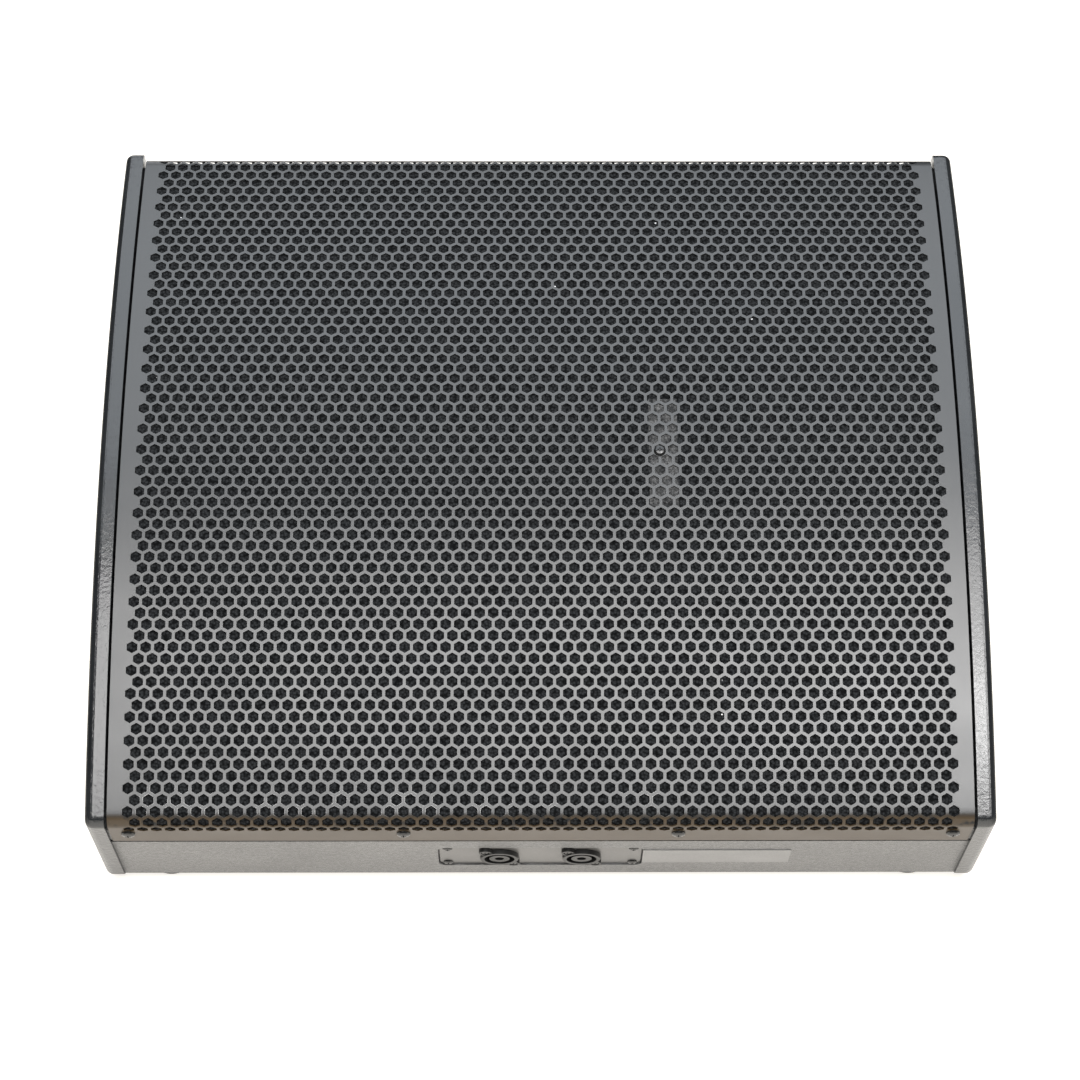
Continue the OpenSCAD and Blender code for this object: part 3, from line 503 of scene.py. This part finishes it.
def make_grille():
    """Cuts the flat layer at lines across the bends, gives it its thickness and folds it."""
    points, rims, faces = flat_sheet()
    flat = bmesh.new()
    rim_layer = flat.verts.layers.float.new("rim")
    made = [flat.verts.new(p) for p in points]
    for v, rim in zip(made, rims):
        v[rim_layer] = rim
    for f in faces:
        flat.faces.new([made[i] for i in f])
    cuts = 6
    for k in range(cuts + 1):
        for y in (-NOSE_L*k/cuts, ARC_L + CREST_L*k/cuts):
            bmesh.ops.bisect_plane(flat, geom=flat.verts[:] + flat.edges[:] + flat.faces[:],
                                   plane_co=(0, y, 0), plane_no=(0, 1, 0), dist=1e-6)
    bmesh.ops.recalc_face_normals(flat, faces=flat.faces[:])
    flat.verts.index_update()
    layer = [tuple(v.co.xy) for v in flat.verts]
    rim = [v[rim_layer] for v in flat.verts]
    front = [[v.index for v in f.verts] for f in flat.faces]
    if flat.faces[0].normal.z < 0:
        front = [f[::-1] for f in front]
    flat.free()

    folded = [fold(x, y, depth) for depth in (0, SHEET) for x, y in layer]
    add_sheet("grille_sheet", "grille_paint", "grille", folded, closed(front, len(layer)),
              "rim", rim + rim, math.radians(40))


# ---- foam behind the grille ----
def lines_between(low, high, step, *through):
    """Grid lines at about this step that also pass through the given values."""
    ends = sorted([low, *through, high])
    lines = [low]
    for a, b in zip(ends, ends[1:]):
        count = max(1, round((b - a)/step))
        lines += [a + (b - a)*(i + 1)/count for i in range(count)]
    return lines


def make_foam():
    """A sheet of foam that follows the steel from the lip to the top bend, pressed thin over the block."""
    low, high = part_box("grille_foam")
    block_low, block_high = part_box("grille_support_block")
    screw_low, screw_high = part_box("grille_centre_screw")
    middle = place_along((screw_low + screw_high)/2)
    margin = 0.5*MM             # pressed foam beside the block
    half_length = 40*MM         # of the pressed patch
    step = 0.5*MM               # over which the foam swells to its full thickness again
    face_step, nose_step, crest_step = 5*MM, 1.6*MM, 1*MM       # of the grid, finer where it bends
    patch_x = (block_low.x - margin, block_high.x + margin)
    patch_y = (middle - half_length, middle + half_length)
    xs = lines_between(low.x, high.x, face_step, patch_x[0] - step, *patch_x, patch_x[1] + step)
    ys = lines_between(FOAM_START, 0, nose_step)[:-1]
    ys += lines_between(0, ARC_L, face_step, patch_y[0] - step, *patch_y, patch_y[1] + step)[:-1]
    ys += lines_between(ARC_L, FOAM_STOP, crest_step)

    def is_pressed(x, y):
        return patch_x[0] <= x <= patch_x[1] and patch_y[0] <= y <= patch_y[1]

    def depth(x, y, side):
        """Under the skin, in front (0) or behind (1): rounded towards the edges, a little uneven."""
        edge = min(x - low.x, high.x - x, y - FOAM_START, FOAM_STOP - y)
        soft = 1.6*MM*math.exp(-max(edge, 0)/(2.5*MM))
        wave = 0.35*MM*(0.5 + 0.5*noise.noise(Vector((x, y, 0))/(14*MM) + Vector((0, 0, 7*side))))
        if side == 1:
            return SHEET + (PRESSED if is_pressed(x, y) else FOAM - soft - wave)
        return SHEET + FOAM_GAP + (0 if is_pressed(x, y) else soft + wave)

    columns = len(xs)
    grid = [(x, y) for y in ys for x in xs]
    points = [fold(x, y, depth(x, y, side)) for side in (0, 1) for x, y in grid]
    pressed = [1.0 if is_pressed(x, y) else 0.0 for x, y in grid]
    front = [[a, a + 1, a + columns + 1, a + columns]
             for a in range(len(grid) - columns) if a % columns < columns - 1]
    piece = add_sheet("grille_foam_sheet", "foam", "grille_foam", points, closed(front, len(grid)),
                      "pressed", pressed + pressed, math.radians(50))


# ---- floor, lights and surroundings ----
def make_floor():
    """A plain pale floor that glows a little, as the paper floor of a bright studio looks."""
    mesh = bpy.data.meshes.new("floor")
    shape = bmesh.new()
    bmesh.ops.create_circle(shape, cap_ends=True, segments=96, radius=5)
    shape.to_mesh(mesh)
    shape.free()
    s = Shade("floor", roughness=0.9, specular=0.1)
    s.shader.inputs["Emission Color"].default_value = (1.0, 0.965, 0.915, 1)
    s.shader.inputs["Emission Strength"].default_value = 0.88
    s.set(Base_Color=(0.56, 0.53, 0.48, 1))
    mesh.materials.append(s.material)
    add_object("floor", mesh)


def make_softbox(name, place, aim, width, height, radiance, colour):
    """A rectangular soft light at place that faces aim, with the given brightness of its face."""
    data = bpy.data.lights.new(name, "AREA")
    data.shape = "RECTANGLE"
    data.size = width
    data.size_y = height
    data.energy = radiance*width*height*math.pi
    data.color = colour
    light = bpy.data.objects.new(name, data)
    light.location = place
    light.rotation_euler = (Vector(aim) - Vector(place)).to_track_quat("-Z", "Y").to_euler()
    bpy.context.scene.collection.objects.link(light)


def make_surroundings():
    """A white background that the camera sees, a dim one that lights the object, and the softboxes."""
    world = bpy.data.worlds.new("studio")
    world.use_nodes = True
    bpy.context.scene.world = world
    nodes, links = world.node_tree.nodes, world.node_tree.links
    seen = nodes["Background"]
    seen.inputs["Color"].default_value = (1, 1, 1, 1)
    seen.inputs["Strength"].default_value = 1.0
    lit = nodes.new("ShaderNodeBackground")
    lit.inputs["Color"].default_value = (0.95, 0.97, 1, 1)
    lit.inputs["Strength"].default_value = 0.10
    path = nodes.new("ShaderNodeLightPath")
    mix = nodes.new("ShaderNodeMixShader")
    links.new(path.outputs["Is Camera Ray"], mix.inputs["Fac"])
    links.new(lit.outputs[0], mix.inputs[1])
    links.new(seen.outputs[0], mix.inputs[2])
    links.new(mix.outputs[0], nodes["World Output"].inputs["Surface"])
    centre = (0, 0, 0.2)
    make_softbox("front_softbox", (0.2, -1.45, 2.05), centre, 2.6, 1.35, 8.0, (1, 0.99, 0.98))
    make_softbox("overhead_softbox", (0, 0.35, 2.6), centre, 3.0, 2.2, 2.95, (0.88, 0.94, 1))
    make_softbox("rear_softbox", (-0.9, 2.4, 1.7), centre, 1.8, 1.2, 2.0, (0.95, 0.97, 1))
    make_softbox("right_key", (0.66, -1.35, 1.62), (0.29, -0.15, 0.2), 0.30, 0.45, 13, (1, 1, 1))
    bpy.context.scene.view_settings.view_transform = "Standard"


make_camera()
make_surroundings()
make_floor()
dress_cad_nodes()
make_grille()
make_foam()
